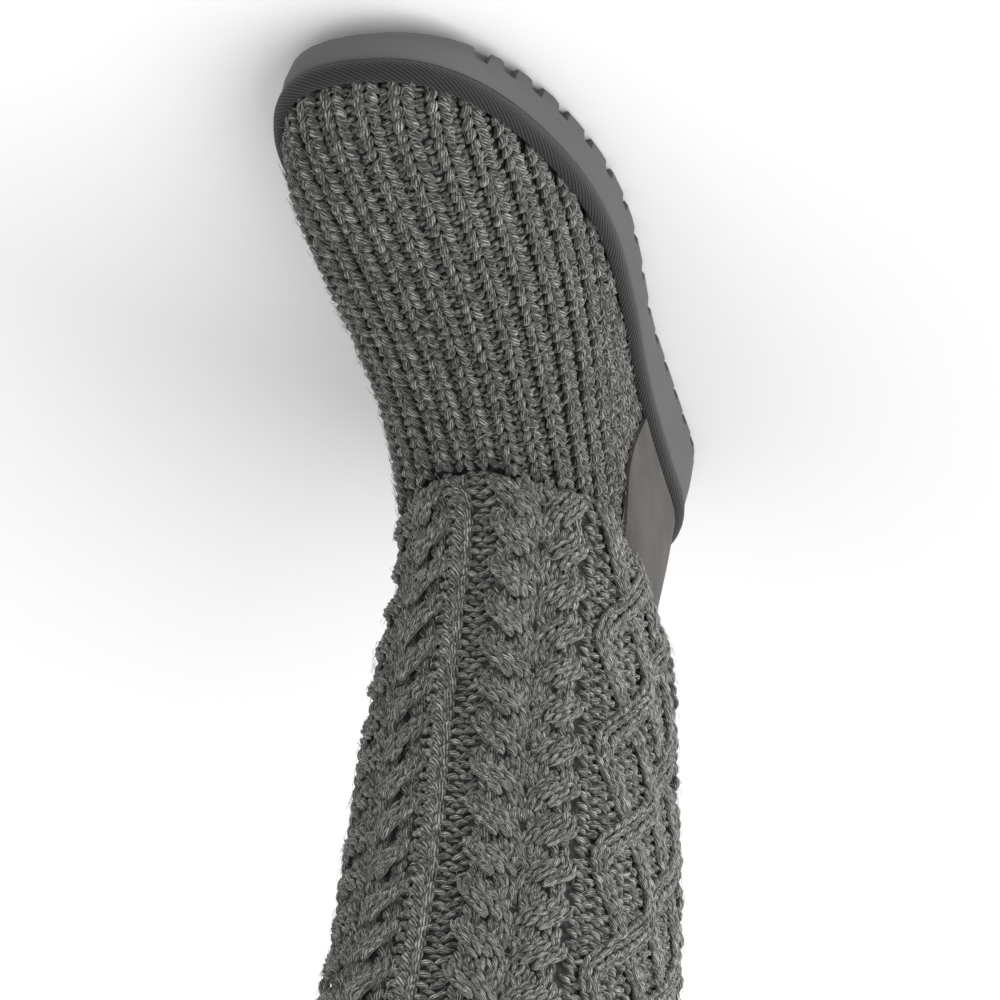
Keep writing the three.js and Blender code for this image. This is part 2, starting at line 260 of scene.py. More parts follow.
def place(side, along, height):
    """Points in the frame, in millimetres."""
    side, along, height = np.broadcast_arrays(side, along, height)
    return np.stack([SHIFT_X - side, HEEL_Y - along, height], axis=-1)


def along_of(points):
    return HEEL_Y - points[..., 1]


def plan_point(turn):
    side, along, _, _ = plan_flat(turn)
    return place(side, along, 0.0)


def plan_normal(turn):
    step = plan_point(turn + SLOPE_STEP) - plan_point(turn - SLOPE_STEP)
    return unit(np.stack([step[..., 1], -step[..., 0], 0 * step[..., 0]], axis=-1))


def sole_top(along):
    return curve(SOLE_TOP, "along", "height", along)


def seam_height(along):
    return ANKLE_HEIGHT - ANKLE_FRONT_DROP * (along - ANKLE_CENTRE) / ANKLE_HALF_LENGTH


def oval(value):
    return np.sign(value) * np.abs(value) ** OVAL_POWER


def foot_skin(turn, rise):
    """The foot's outer skin: rise 0 at the sole, 1 at the ankle seam."""
    turn, rise = np.broadcast_arrays(np.asarray(turn, float), np.asarray(rise, float))
    _, _, share, lateral = plan_flat(turn)
    outward = plan_normal(turn)
    start = plan_point(turn) - FOOT_INSET * outward
    start[..., 2] = sole_top(along_of(start)) + GAP
    line = {name: curve(FOOT_LINES, "share", name, share) for name in FOOT_LINES}
    lower = start + outward * line["bulge"][..., None]
    lower[..., 2] += line["rise"]
    angle = math.pi * share + ANKLE_FAN * np.sin(math.pi * share)
    reach = ANKLE_HALF_WIDTH * oval(np.sin(angle))
    along = ANKLE_CENTRE - ANKLE_HALF_LENGTH * oval(np.cos(angle))
    end = place(ANKLE_SIDE + np.where(lateral, reach, -reach), along, seam_height(along))
    upper = end + outward * line["out"][..., None]
    upper[..., 1] -= line["forward"]
    upper[..., 2] -= line["down"]
    t = rise[..., None]
    s = 1 - t
    return s**3 * start + 3 * s * s * t * lower + 3 * s * t * t * upper + t**3 * end


def foot_normal(turn, rise):
    low = np.maximum(rise - SLOPE_STEP, 0)
    high = np.minimum(rise + SLOPE_STEP, 1)
    around = foot_skin(turn + SLOPE_STEP, rise) - foot_skin(turn - SLOPE_STEP, rise)
    up = foot_skin(turn, high) - foot_skin(turn, low)
    return unit(np.cross(around, up))


SHARE_STEPS = 60
ANGLE_STEPS = 180
SHARE_GRID = np.linspace(0, 1, SHARE_STEPS + 1)
ANGLE_GRID = np.linspace(0, math.pi, ANGLE_STEPS + 1)


def shaft_oval(angle, share):
    """Outer skin of the shaft; angle 0 is the front, positive towards the little toe."""
    value = {name: curve(SHAFT_SECTIONS, "share", name, share) for name in SHAFT_SECTIONS}
    side = value["centre_side"] + value["half_width"] * oval(np.sin(angle))
    along = value["centre_along"] + value["half_length"] * oval(np.cos(angle))
    low = seam_height(along) + GAP
    return place(side, along, low + (SHAFT_TOP - low) * share)


def girth_angles():
    """Angle at even steps of girth, a row for each height."""
    points = shaft_oval(ANGLE_GRID[None, :], SHARE_GRID[:, None])
    steps = np.linalg.norm(np.diff(points, axis=1), axis=-1)
    arc = np.concatenate([np.zeros((len(steps), 1)), np.cumsum(steps, axis=1)], axis=1)
    even = np.linspace(0, 1, ANGLE_STEPS + 1)
    return np.stack([np.interp(even * a[-1], a, ANGLE_GRID) for a in arc])


GIRTH_ANGLES = girth_angles()


def shaft_angle(chart, share):
    """Angle on the shaft of a chart position, in chart millimetres from the front."""
    part = np.clip(np.abs(chart) / HALF_GIRTH, 0, 1) * ANGLE_STEPS
    level = np.clip(share, 0, 1) * SHARE_STEPS
    i = np.minimum(part.astype(int), ANGLE_STEPS - 1)
    j = np.minimum(level.astype(int), SHARE_STEPS - 1)
    u = part - i
    v = level - j
    low = GIRTH_ANGLES[j, i] * (1 - u) + GIRTH_ANGLES[j, i + 1] * u
    high = GIRTH_ANGLES[j + 1, i] * (1 - u) + GIRTH_ANGLES[j + 1, i + 1] * u
    return np.sign(chart) * (low * (1 - v) + high * v)


def wrap_chart(chart):
    return np.mod(chart + HALF_GIRTH, 2 * HALF_GIRTH) - HALF_GIRTH


def bell(value, centre, width):
    """One at the centre, falling smoothly to nothing."""
    return np.exp(-(((value - centre) / width) ** 2))


def shaft_skin(chart, height):
    """Point on the shaft from chart millimetres round and millimetres above the seam."""
    chart, height = np.broadcast_arrays(np.asarray(chart, float), np.asarray(height, float))
    chart = wrap_chart(chart)
    share = height / SHAFT_HEIGHT
    angle = shaft_angle(chart, share)
    outward = np.stack([-np.sin(angle), -np.cos(angle), 0 * angle], axis=-1)
    front = bell(chart, *FRONT_PLACE)
    corner = bell(chart, *CORNER_PLACE)
    swell = (EDGE_SWELL + FRONT_SWELL * front + CORNER_SWELL * corner) * bell(height, *SWELL_BAND)
    swell = swell - HOLLOW_DEPTH * bell(chart, *HOLLOW_PLACE) * bell(height, *HOLLOW_BAND)
    sag = CORNER_SAG * corner * bell(height, *SAG_BAND)
    point = shaft_oval(angle, share) + outward * swell[..., None]
    point[..., 2] -= sag
    return point


def shaft_normal(chart, height):
    around = shaft_skin(chart + 0.5, height) - shaft_skin(chart - 0.5, height)
    up = shaft_skin(chart, height + 0.5) - shaft_skin(chart, height - 0.5)
    return unit(np.cross(up, around))


# Yarn: one leg of a stitch is a short spindle with a few dozen faces, a loose fibre a thinner one.
LEG = {"sides": 5, "rings": np.array([0.1, 0.36, 0.64, 0.9]), "girth": np.array([0.62, 1.0, 1.0, 0.62])}
FIBRE = {"sides": 3, "rings": np.array([0.3, 0.72]), "girth": np.array([1.0, 0.7])}
FIBRE_WIDTH = 0.17
FIBRE_LENGTH = (2.0, 6.0)
FIBRE_STAND = (-0.1, 0.34)
FIBRE_ARCH = (0.1, 0.7)


def leg_faces(shape):
    """Triangles of one spindle and the share round and along of each corner."""
    sides = shape["sides"]
    stations = (0.0, *shape["rings"], 1.0)
    last = len(stations) - 1

    def corner(ring, side):
        number = 1 + (ring - 1) * sides + (side % sides if ring < last else 0) if ring else 0
        return number, (side / sides, stations[ring])

    faces = []
    for i in range(sides):
        for r in range(last):
            a, b, c, d = corner(r, i), corner(r, i + 1), corner(r + 1, i + 1), corner(r + 1, i)
            if r == 0:
                faces.append((a, c, d))
            elif r == last - 1:
                faces.append((a, b, d))
            else:
                faces += [(a, b, c), (a, c, d)]
    numbers = np.array([[number for number, _ in face] for face in faces])
    return numbers, np.array([[share for _, share in face] for face in faces], float)


def square_to(v, axis):
    """Rows turned square to an axis, at length one."""
    return unit(v - axis * np.sum(axis * v, axis=1, keepdims=True))


def leg_axes(legs):
    """Directions along, out of and across legs."""
    axis = unit(legs["end"] - legs["start"])
    normal = square_to(legs["normal"], axis)
    return axis, normal, np.cross(normal, axis)


def leg_points(legs, shape):
    """Corner points of many spindles, a row for each one."""
    start = legs["start"]
    end = legs["end"]
    _, normal, side = leg_axes(legs)
    width = legs["width"][:, None, None, None] / 2
    thick = legs["thick"][:, None, None, None] / 2
    t = shape["rings"][:, None]
    middle = start[:, None] + (end - start)[:, None] * t
    middle = middle + normal[:, None] * legs["lift"][:, None, None] * 4 * t * (1 - t)
    turn = 2 * math.pi * np.arange(shape["sides"]) / shape["sides"]
    girth = shape["girth"][:, None, None]
    wide = width * girth * np.cos(turn)[:, None]
    high = thick * girth * np.sin(turn)[:, None]
    rings = middle[:, :, None] + side[:, None, None] * wide + normal[:, None, None] * high
    rings = rings.reshape(len(start), -1, 3)
    return np.concatenate([start[:, None], rings, end[:, None]], axis=1)


def group(start, end, normal, width, thick, lift):
    """A set of legs; the sizes may be one number for all."""
    made = {"start": start, "end": end, "normal": normal}
    for name, value in (("width", width), ("thick", thick), ("lift", lift)):
        made[name] = np.broadcast_to(np.asarray(value, float), (len(start),))
    return made


def joined(groups):
    """Several sets of legs as one."""
    return {name: np.concatenate([made[name] for made in groups]) for name in groups[0]}


def kept(legs, keep):
    return {name: value[keep] for name, value in legs.items()}


def loose_fibres(legs, share, random):
    """Fine fibres that stand off the legs, a share of a fibre for each leg."""
    pick = random.integers(0, len(legs["start"]), int(share * len(legs["start"])))
    chosen = kept(legs, pick)
    span = chosen["end"] - chosen["start"]
    axis, normal, side = leg_axes(chosen)
    count = len(pick)
    at = random.uniform(0.1, 0.9, count)
    height = chosen["lift"] * 4 * at * (1 - at) + 0.4 * chosen["thick"]
    shift = random.uniform(-0.3, 0.3, count) * chosen["width"]
    root = chosen["start"] + span * at[:, None] + normal * height[:, None] + side * shift[:, None]
    heading = unit(axis * random.normal(0.9, 0.6, (count, 1)) + side * random.normal(0, 0.8, (count, 1)))
    length = random.uniform(*FIBRE_LENGTH, (count, 1))
    stand = random.uniform(*FIBRE_STAND, (count, 1))
    tip = root + (heading + normal * stand) * length
    return group(root, tip, normal, FIBRE_WIDTH, FIBRE_WIDTH, random.uniform(*FIBRE_ARCH, count))


def new_object(name, mesh):
    made = bpy.data.objects.new(name, mesh)
    bpy.context.scene.collection.objects.link(made)
    return made


def array_mesh(name, points, faces, uv=None):
    """A smooth triangle mesh from arrays; points are in millimetres."""
    mesh = bpy.data.meshes.new(name)
    mesh.vertices.add(len(points))
    mesh.vertices.foreach_set("co", (points * MM).astype(np.float32).ravel())
    mesh.loops.add(faces.size)
    mesh.loops.foreach_set("vertex_index", faces.astype(np.int32).ravel())
    mesh.polygons.add(len(faces))
    mesh.polygons.foreach_set("loop_start", np.arange(0, faces.size, faces.shape[1], dtype=np.int32))
    mesh.polygons.foreach_set("use_smooth", np.ones(len(faces), dtype=bool))
    if uv is not None:
        layer = mesh.uv_layers.new(name="yarn")
        layer.data.foreach_set("uv", uv.astype(np.float32).ravel())
    mesh.update(calc_edges=True)
    mesh.validate()
    return mesh


def yarn_object(name, legs, material, shape=LEG):
    """All the legs of one piece of knitting as one mesh."""
    random = np.random.default_rng(SEED)
    points = leg_points(legs, shape)
    count, corners, _ = points.shape
    tones = random.uniform(0, 1, count)
    lengths = np.linalg.norm(legs["end"] - legs["start"], axis=1)
    faces, shares = leg_faces(shape)
    every = (faces + (np.arange(count) * corners)[:, None, None]).reshape(-1, 3)
    uv = np.broadcast_to(shares, (count, *shares.shape)).copy()
    uv[..., 1] *= lengths[:, None, None]
    mesh = array_mesh(name, points.reshape(-1, 3), every, uv.reshape(-1, 2))
    tone = mesh.attributes.new("tone", "FLOAT", "POINT")
    tone.data.foreach_set("value", np.repeat(tones, corners).astype(np.float32))
    mesh.materials.append(material)
    return new_object(name, mesh)


def ring_faces(rings, count):
    """Quads between neighbouring rings of points, the last ring joined to the first."""
    r, i = np.meshgrid(np.arange(rings), np.arange(count), indexing="ij")
    j = (i + 1) % count
    high = (r + 1) % rings
    return np.stack([r * count + i, r * count + j, high * count + j, high * count + i], axis=-1).reshape(-1, 4)


def lined_shell(name, skin, outward, ground, lining):
    """A thick-walled tube under the skin: the knit's ground, painted dark as shade between the stitches, outside and
    its fleece lining inside.
    """
    rings = np.concatenate([skin - ground * outward, (skin - lining * outward)[::-1]])
    count = rings.shape[1]
    faces = ring_faces(len(rings), count)
    mesh = array_mesh(name, rings.reshape(-1, 3), faces)
    mesh.materials.append(shared("knit_ground_painted_shade", painted_shade_ground_material))
    mesh.materials.append(shared("fleece", fleece_material))
    band = np.arange(len(faces)) // count
    mesh.polygons.foreach_set("material_index", (band >= len(skin)).astype(np.int32))
    return new_object(name, mesh)


# Materials.


def feed(tree, socket, value):
    """Set an input, or link it to another node's output."""
    if isinstance(value, bpy.types.NodeSocket):
        tree.links.new(value, socket)
    else:
        socket.default_value = value


def add_node(tree, kind, **values):
    """A new node with its settings and inputs."""
    made = tree.nodes.new(kind)
    for name, value in values.items():
        if hasattr(made, name):
            setattr(made, name, value)
        else:
            feed(tree, made.inputs[name], value)
    return made


def maths(tree, operation, a, b=0.0):
    made = add_node(tree, "ShaderNodeMath", operation=operation)
    feed(tree, made.inputs[0], a)
    feed(tree, made.inputs[1], b)
    return made.outputs[0]


def weighted(tree, first, share, second, other):
    """The sum of two values, each times its own weight."""
    return maths(tree, "ADD", maths(tree, "MULTIPLY", first, share), maths(tree, "MULTIPLY", second, other))


def ripple(tree, angle):
    """A wave between zero and one."""
    return maths(tree, "MULTIPLY", maths(tree, "ADD", maths(tree, "SINE", angle), 1.0), 0.5)


def ramp(tree, value, *stops):
    made = add_node(tree, "ShaderNodeValToRGB", Fac=value)
    band = made.color_ramp
    while len(band.elements) < len(stops):
        band.elements.new(0.5)
    for element, (position, colour) in zip(band.elements, stops):
        element.position = position
        element.color = (*colour, 1)
    return made.outputs[0]


def noise(tree, vector, scale, detail=2.0):
    return add_node(tree, "ShaderNodeTexNoise", Vector=vector, Scale=scale, Detail=detail).outputs["Fac"]


def bump(tree, shader, height, strength, depth):
    made = add_node(tree, "ShaderNodeBump", Strength=strength, Distance=depth, Height=height)
    feed(tree, shader.inputs["Normal"], made.outputs[0])


def paint(tree, shader, value, *stops):
    """Colour a shader by a ramp over a value."""
    feed(tree, shader.inputs["Base Color"], ramp(tree, value, *stops))


def place_in_object(tree):
    return add_node(tree, "ShaderNodeTexCoord").outputs["Object"]


def place_on_map(tree):
    """The two coordinates of a piece's own map."""
    on_map = add_node(tree, "ShaderNodeUVMap", uv_map="yarn").outputs[0]
    split = add_node(tree, "ShaderNodeSeparateXYZ", Vector=on_map)
    return split.outputs[0], split.outputs[1]


def leg_tone(tree):
    """A random number for each leg of yarn."""
    return add_node(tree, "ShaderNodeAttribute", attribute_name="tone").outputs["Fac"]


def new_material(name, roughness, sheen=0.0, specular=0.3):
    made = bpy.data.materials.new(name)
    made.use_nodes = True
    tree = made.node_tree
    shader = tree.nodes["Principled BSDF"]
    shader.inputs["Roughness"].default_value = roughness
    shader.inputs["Specular IOR Level"].default_value = specular
    shader.inputs["Sheen Weight"].default_value = sheen
    shader.inputs["Sheen Roughness"].default_value = 0.5
    return made, tree, shader


def grey(value, warm=0.0):
    return (value * (1 + warm), value, value * (1 - warm))


def marl(value):
    """Grey wool, which lacks a little blue."""
    return (value, value, 0.93 * value)


def times(colour, factor):
    return tuple(factor * c for c in colour)


def yarn_material(name, brightness, painted_shade_strength=0.38):
    """Plied marl wool: plies twist along each leg, fibres streak it, and painted shade makes each leg lighter on its
    top and darker on its sides and underside.
    """
    made, tree, shader = new_material(name, 0.95, 0.25, 0.15)
    around, lengthwise = place_on_map(tree)
    tone = leg_tone(tree)
    phase = maths(tree, "MULTIPLY", tone, 40.0)
    twist = weighted(tree, around, 2 * math.pi * 9, lengthwise, 2.0)
    plies = ripple(tree, maths(tree, "ADD", twist, phase))
    streak = add_node(
        tree,
        "ShaderNodeCombineXYZ",
        X=weighted(tree, around, 13.0, lengthwise, 0.5),
        Y=maths(tree, "MULTIPLY", lengthwise, 0.45),
        Z=phase,
    )
    fibres = noise(tree, streak.outputs[0], 1.0, 3.0)
    mixed = weighted(tree, plies, 0.2, fibres, 0.85)
    shades = ((0.31, 0.022), (0.52, 0.095), (0.71, 0.48))
    colour = ramp(tree, mixed, *((position, marl(value * brightness)) for position, value in shades))
    # Each leg's own random tone, then painted shade: the colour is scaled up on the leg's top and down on its sides
    # and underside.
    level = maths(tree, "ADD", maths(tree, "MULTIPLY", tone, 0.45), 0.8)
    top = maths(tree, "SINE", maths(tree, "MULTIPLY", around, 2 * math.pi))
    shade = maths(tree, "ADD", maths(tree, "MULTIPLY", top, painted_shade_strength), 1.23 - painted_shade_strength)
    level = maths(tree, "MULTIPLY", level, shade)
    lit = add_node(tree, "ShaderNodeVectorMath", operation="SCALE", Vector=colour, Scale=level)
    feed(tree, shader.inputs["Base Color"], lit.outputs[0])
    bump(tree, shader, mixed, 0.7, 0.0005)
    return made


def fibre_material():
    """Single wool fibres, some light and some dark."""
    made, tree, shader = new_material("loose_fibre", 0.9, 0.2, 0.2)
    brightness = knit().brightness
    paint(tree, shader, leg_tone(tree), (0.0, marl(0.08 * brightness)), (1.0, marl(0.55 * brightness)))
    return made


def painted_shade_ground_material():
    """Painted shade: the inside of the knit between its stitches, coloured very dark for the shade that falls there,
    with a fine grain.
    """
    made, tree, shader = new_material("knit_ground_painted_shade", 1.0, 0.1, 0.1)
    grain = noise(tree, place_in_object(tree), 700.0)
    paint(tree, shader, grain, (0.3, grey(0.022)), (0.7, grey(0.065)))
    bump(tree, shader, grain, 0.6, 0.0006)
    return made


def grained(name, finish, clouds, grain, share, relief, *stops):
    """A material in two sizes of noise: soft clouds, and a share of fine grain that also stands out as relief."""
    made, tree, shader = new_material(name, *finish)
    where = place_in_object(tree)
    fine = noise(tree, where, *grain)
    paint(tree, shader, weighted(tree, noise(tree, where, *clouds), 1 - share, fine, share), *stops)
    bump(tree, shader, fine, *relief)
    return made


def fleece_material():
    """Short curly pile."""
    stops = (0.3, grey(0.14, 0.04)), (0.65, grey(0.34, 0.05))
    return grained("fleece", (1.0, 0.4, 0.1), (60.0, 2.0), (420.0, 3.0), 0.7, (0.9, 0.0018), *stops)


def suede_material(colour):
    """Soft nap in lighter and darker clouds."""
    stops = (0.33, times(colour, 0.55)), (0.68, times(colour, 1.4))
    return grained("suede", (0.95, 0.15, 0.12), (70.0, 3.0), (2200.0, 3.0), 0.55, (0.35, 0.0003), *stops)


def foam_material(colour):
    """Moulded foam with fine pores."""
    stops = (0.3, times(colour, 0.86)), (0.7, times(colour, 1.12))
    return grained("sole_foam", (0.68, 0.0, 0.35), (22.0, 3.0), (1500.0, 3.0), 0.4, (0.12, 0.0003), *stops)


def tape_material(colour):
    """Woven tape: fine cords that slant along it."""
    made, tree, shader = new_material("tape_twill", 0.85, 0.15, 0.25)
    ahead, around = place_on_map(tree)
    cords = ripple(tree, weighted(tree, ahead, 2.5, around, 4.9))
    picks = ripple(tree, maths(tree, "MULTIPLY", ahead, 9.0))
    mixed = weighted(tree, cords, 0.75, picks, 0.25)
    paint(tree, shader, mixed, (0.1, times(colour, 0.3)), (0.85, times(colour, 1.9)))
    bump(tree, shader, mixed, 0.8, 0.0004)
    return made


def floor_material(colour):
    made, tree, shader = new_material("floor", 0.9, 0.0, 0.1)
    clouds = noise(tree, place_in_object(tree), 3.0)
    paint(tree, shader, clouds, (0.3, times(colour, 0.985)), (0.7, tuple(colour)))
    return made


# Settings a user would change.


class BootKnitSettings(bpy.types.PropertyGroup):
    """Sizes of the knitting."""

    rib_pitch: FloatProperty(name="Rib pitch", description="Distance between ribs", default=0.0100, unit="LENGTH")
    rib_row: FloatProperty(
        name="Rib row", description="Height of a stitch on the foot", default=0.0039, unit="LENGTH"
    )
    cable_row: FloatProperty(
        name="Cable row", description="Height of a stitch on the shaft", default=0.0044, unit="LENGTH"
    )
    foot_fuzz: FloatProperty(
        name="Foot fuzz", description="Loose fibres for each leg on the foot", default=2.5, min=0.0, max=8.0
    )
    shaft_fuzz: FloatProperty(
        name="Shaft fuzz", description="Loose fibres for each leg on the shaft", default=1.2, min=0.0, max=8.0
    )
    brightness: FloatProperty(
        name="Yarn brightness", description="Lightness of the yarn", default=0.84, min=0.2, max=3.0, subtype="FACTOR"
    )


class BootColourSettings(bpy.types.PropertyGroup):
    """Colours of the plain pieces."""

    suede: FloatVectorProperty(name="Heel counter", default=(0.067, 0.0595, 0.0545), subtype="COLOR")
    foam: FloatVectorProperty(name="Sole", default=(0.1, 0.1, 0.099), subtype="COLOR")
    tape: FloatVectorProperty(name="Bound edge", default=(0.0215, 0.0215, 0.0215), subtype="COLOR")
    floor: FloatVectorProperty(name="Floor", default=(0.96, 0.96, 0.96), subtype="COLOR")


def knit():
    return bpy.context.scene.boot_knit


def colours():
    return bpy.context.scene.boot_colours


def shared(name, maker):
    """A material made once and used by several pieces."""
    return bpy.data.materials.get(name) or maker()


def shaft_yarn():
    return shared("shaft_yarn", lambda: yarn_material("shaft_yarn", 0.96 * knit().brightness))


def finish_piece(piece, slot, *nodes):
    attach(piece, "root")
    if nodes:
        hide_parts(*nodes)


def add_knitting(name, fuzz_name, legs, material, slot, fuzz, random):
    """One piece of knitting and the loose fibres over it."""
    finish_piece(yarn_object(name, legs, material), slot)
    fibres = loose_fibres(legs, fuzz, random)
    finish_piece(yarn_object(fuzz_name, fibres, shared("loose_fibre", fibre_material), FIBRE), slot)


def apply_modifier(piece, kind, **settings):
    """Give a piece one modifier and apply it; the piece stays selected."""
    bpy.ops.object.select_all(action="DESELECT")
    piece.select_set(True)
    bpy.context.view_layer.objects.active = piece
    added = piece.modifiers.new("shaped", kind)
    for name, value in settings.items():
        setattr(added, name, value)
    bpy.ops.object.modifier_apply(modifier="shaped")


def solid_piece(node, name, slot, bevel, material):
    """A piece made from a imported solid, smoothed and with its sharp edges rounded."""
    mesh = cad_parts[node].data.copy()
    mesh.name = name
    mesh.materials.clear()
    copy = new_object(name, mesh)
    work = bmesh.new()
    work.from_mesh(mesh)
    bmesh.ops.remove_doubles(work, verts=work.verts, dist=2e-5)
    bmesh.ops.dissolve_limit(work, angle_limit=math.radians(0.6), verts=work.verts, edges=work.edges)
    bmesh.ops.triangulate(work, faces=[f for f in work.faces if len(f.verts) > 4])
    work.to_mesh(mesh)
    work.free()
    sharp = math.radians(38)
    apply_modifier(
        copy, "BEVEL", width=bevel, segments=2, limit_method="ANGLE", angle_limit=sharp, use_clamp_overlap=True
    )
    bpy.ops.object.shade_smooth_by_angle(angle=math.radians(40))
    copy.select_set(False)
    copy.data.materials.append(material)
    finish_piece(copy, slot, node)
    return copy


class BOOT_OT_sole(bpy.types.Operator):
    """Make the lugged foam sole."""

    bl_idname = "boot.sole"
    bl_label = "Sole"

    def execute(self, context):
        solid_piece("outsole", "sole", "sole_foam", 0.0006, foam_material(colours().foam))
        return {"FINISHED"}


class BOOT_OT_insole(bpy.types.Operator):
    """Make the fleece footbed."""

    bl_idname = "boot.insole"
    bl_label = "Footbed"

    def execute(self, context):
        bed = solid_piece("insole", "footbed", "footbed_fleece", 0.001, shared("fleece", fleece_material))
        return {"FINISHED"}


class BOOT_OT_tape(bpy.types.Operator):
    """Make the woven tape round the base of the foot."""

    bl_idname = "boot.tape"
    bl_label = "Binding tape"

    def execute(self, context):
        turns = full_turn(TAPE_STEPS)
        rises = np.linspace(0, 0.5, 200)
        base = foot_skin(turns, 0.0)
        heights = foot_skin(turns[:, None], rises[None, :])[..., 2] - base[:, None, 2]
        outward = plan_normal(turns)
        rings = []
        for rise, out in zip(TAPE_SECTION["rise"], TAPE_SECTION["out"]):
            at = np.array([np.interp(rise * TAPE_HEIGHT, h, rises) for h in heights])
            ring = foot_skin(turns, at)
            level = ring[:, 2].copy()
            ring = ring + outward * out
            ring[:, 2] = sole_top(along_of(ring)) + GAP if rise == 0 else level
            rings.append(ring)
        rings = np.array(rings)
        count = rings.shape[1]
        faces = ring_faces(len(rings), count)
        edge = rings[TAPE_OUTERMOST]
        ahead = arc_length(np.concatenate([edge, edge[:1]]))
        around = np.append(TAPE_SECTION["girth"], TAPE_GIRTH)
        r = np.arange(len(faces)) // count
        i = np.arange(len(faces)) % count
        corners = ((0, 0), (1, 0), (1, 1), (0, 1))
        uv = np.stack([np.stack([ahead[i + a], around[r + b]], axis=-1) for a, b in corners], axis=1)
        mesh = array_mesh("binding", rings.reshape(-1, 3), faces, uv)
        mesh.materials.append(tape_material(colours().tape))
        tape = new_object("binding", mesh)
        apply_modifier(tape, "SUBSURF", levels=1, render_levels=1)
        tape.select_set(False)
        finish_piece(tape, "tape_twill", "binding_tape")
        return {"FINISHED"}


class BOOT_OT_counter(bpy.types.Operator):
    """Make the suede heel counter."""

    bl_idname = "boot.counter"
    bl_label = "Heel counter"

    def execute(self, context):
        solid_piece("heel_counter", "counter", "counter_suede", 0.0006, suede_material(colours().suede))
        return {"FINISHED"}


def rib_paths(offsets, spacing):
    """Each rib as turns, rises and widening; the ribs fan out from the ankle to the toe and drift to the big toe."""
    turns = np.linspace(*RIB_TURNS)
    rises = np.linspace(*RIB_RISES)
    skin = foot_skin(turns[:, None], rises[None, :])
    middle = len(turns) // 2
    line = skin[middle]
    heading = unit(np.gradient(line, axis=0))
    climb = arc_length(line)
    forward = 1 - climb / climb[-1]
    fans = RIB_FAN_ANKLE + (RIB_FAN_TOE - RIB_FAN_ANKLE) * forward**1.5
    drifts = RIB_DRIFT * forward**2
    stations = np.linspace(0, len(rises) - 1, RIB_STATIONS).astype(int)
    rows = np.arange(len(turns))
    paths = [[] for _ in offsets]
    for j in stations[::-1]:
        distance = (skin - line[j]) @ heading[j]
        crossing = (distance[:, :-1] < 0) & (distance[:, 1:] >= 0)
        first = np.argmax(crossing, axis=1)
        found = crossing.any(axis=1)
        if j == len(rises) - 1:
            first[middle] = len(rises) - 2
        d0 = distance[rows, first]
        d1 = distance[rows, first + 1]
        share = np.clip(d0 / np.where(np.abs(d0 - d1) < 1e-9, 1, d0 - d1), 0, 1)
        at = rises[first] + share * (rises[1] - rises[0])
        point = skin[rows, first] * (1 - share[:, None]) + skin[rows, first + 1] * share[:, None]
        for sign in (-1, 1):
            order = np.arange(middle, len(turns) if sign > 0 else -1, sign)
            reached = found[order]
            reached[0] = True
            order = order[np.logical_and.accumulate(reached)]
            if len(order) < 2:
                continue
            arc = arc_length(point[order])
            for k, offset in enumerate(offsets):
                wanted = (offset * fans[j] - drifts[j]) * -sign
                if wanted < -1e-6 or wanted > arc[-1] or (abs(wanted) < 1e-6 and sign == 1):
                    continue
                turn, rise = (np.interp(wanted, arc, column[order]) for column in (turns, at))
                paths[k].append((turn, rise, fans[j]))
    made = []
    for path in paths:
        if len(path) < 6:
            continue
        path = end_at_tape(extend_to_seam(np.array(path)))
        if len(path) < 6:
            continue
        path = even_path(path, spacing)
        path = path[path[:, 1] < RIB_END]
        if len(path) >= 3:
            made.append(path)
    return made


def extend_to_seam(path):
    """A rib's ankle end carried straight on up to the seam."""
    step = path[0] - path[min(4, len(path) - 1)]
    step = step * (1, 1, 0) / max(np.abs(step[:2]).max(), 1e-6) * SEAM_STEP
    added = []
    here = path[0]
    while here[1] < SEAM_RISE and len(added) < SEAM_STEPS and step[1] > 0:
        here = here + step
        here = np.array([np.clip(here[0], *SEAM_TURNS), min(here[1], 1.0), here[2]])
        added.append(here)
    return np.concatenate([np.array(added[::-1]).reshape(-1, 3), path])


def end_at_tape(path):
    """A rib cut off where it reaches the tape or turns back on itself."""
    points = foot_skin(path[:, 0], path[:, 1])
    above = points[:, 2] - sole_top(along_of(points)) - GAP
    heading = np.diff(points, axis=0)
    for i in range(5, len(path)):
        if above[i] < TAPE_HEIGHT - TAPE_OVERLAP or heading[i - 1] @ heading[i - 2] < 0:
            return path[:i]
    return path


def even_path(path, spacing):
    """A rib's path at even steps of its length."""
    points = foot_skin(path[:, 0], path[:, 1])
    arc = arc_length(points)
    at = np.arange(0.5 * spacing, arc[-1], spacing)
    return np.stack([np.interp(at, arc, column) for column in path.T], axis=1)


def path_frame(path):
    """Points along a rib with their directions to the toe, normals, and sideways directions as long as it widens."""
    points = foot_skin(path[:, 0], path[:, 1])
    normal = foot_normal(path[:, 0], path[:, 1])
    ahead = square_to(unit(np.gradient(points, axis=0)), normal)
    return points, ahead, normal, np.cross(normal, ahead) * path[:, 2:]


def off_counter(points):
    """True in front of the heel counter's edge."""
    edge = curve(COUNTER_EDGE, "height", "along", points[:, 2])
    return along_of(points) > edge - COUNTER_OVERLAP


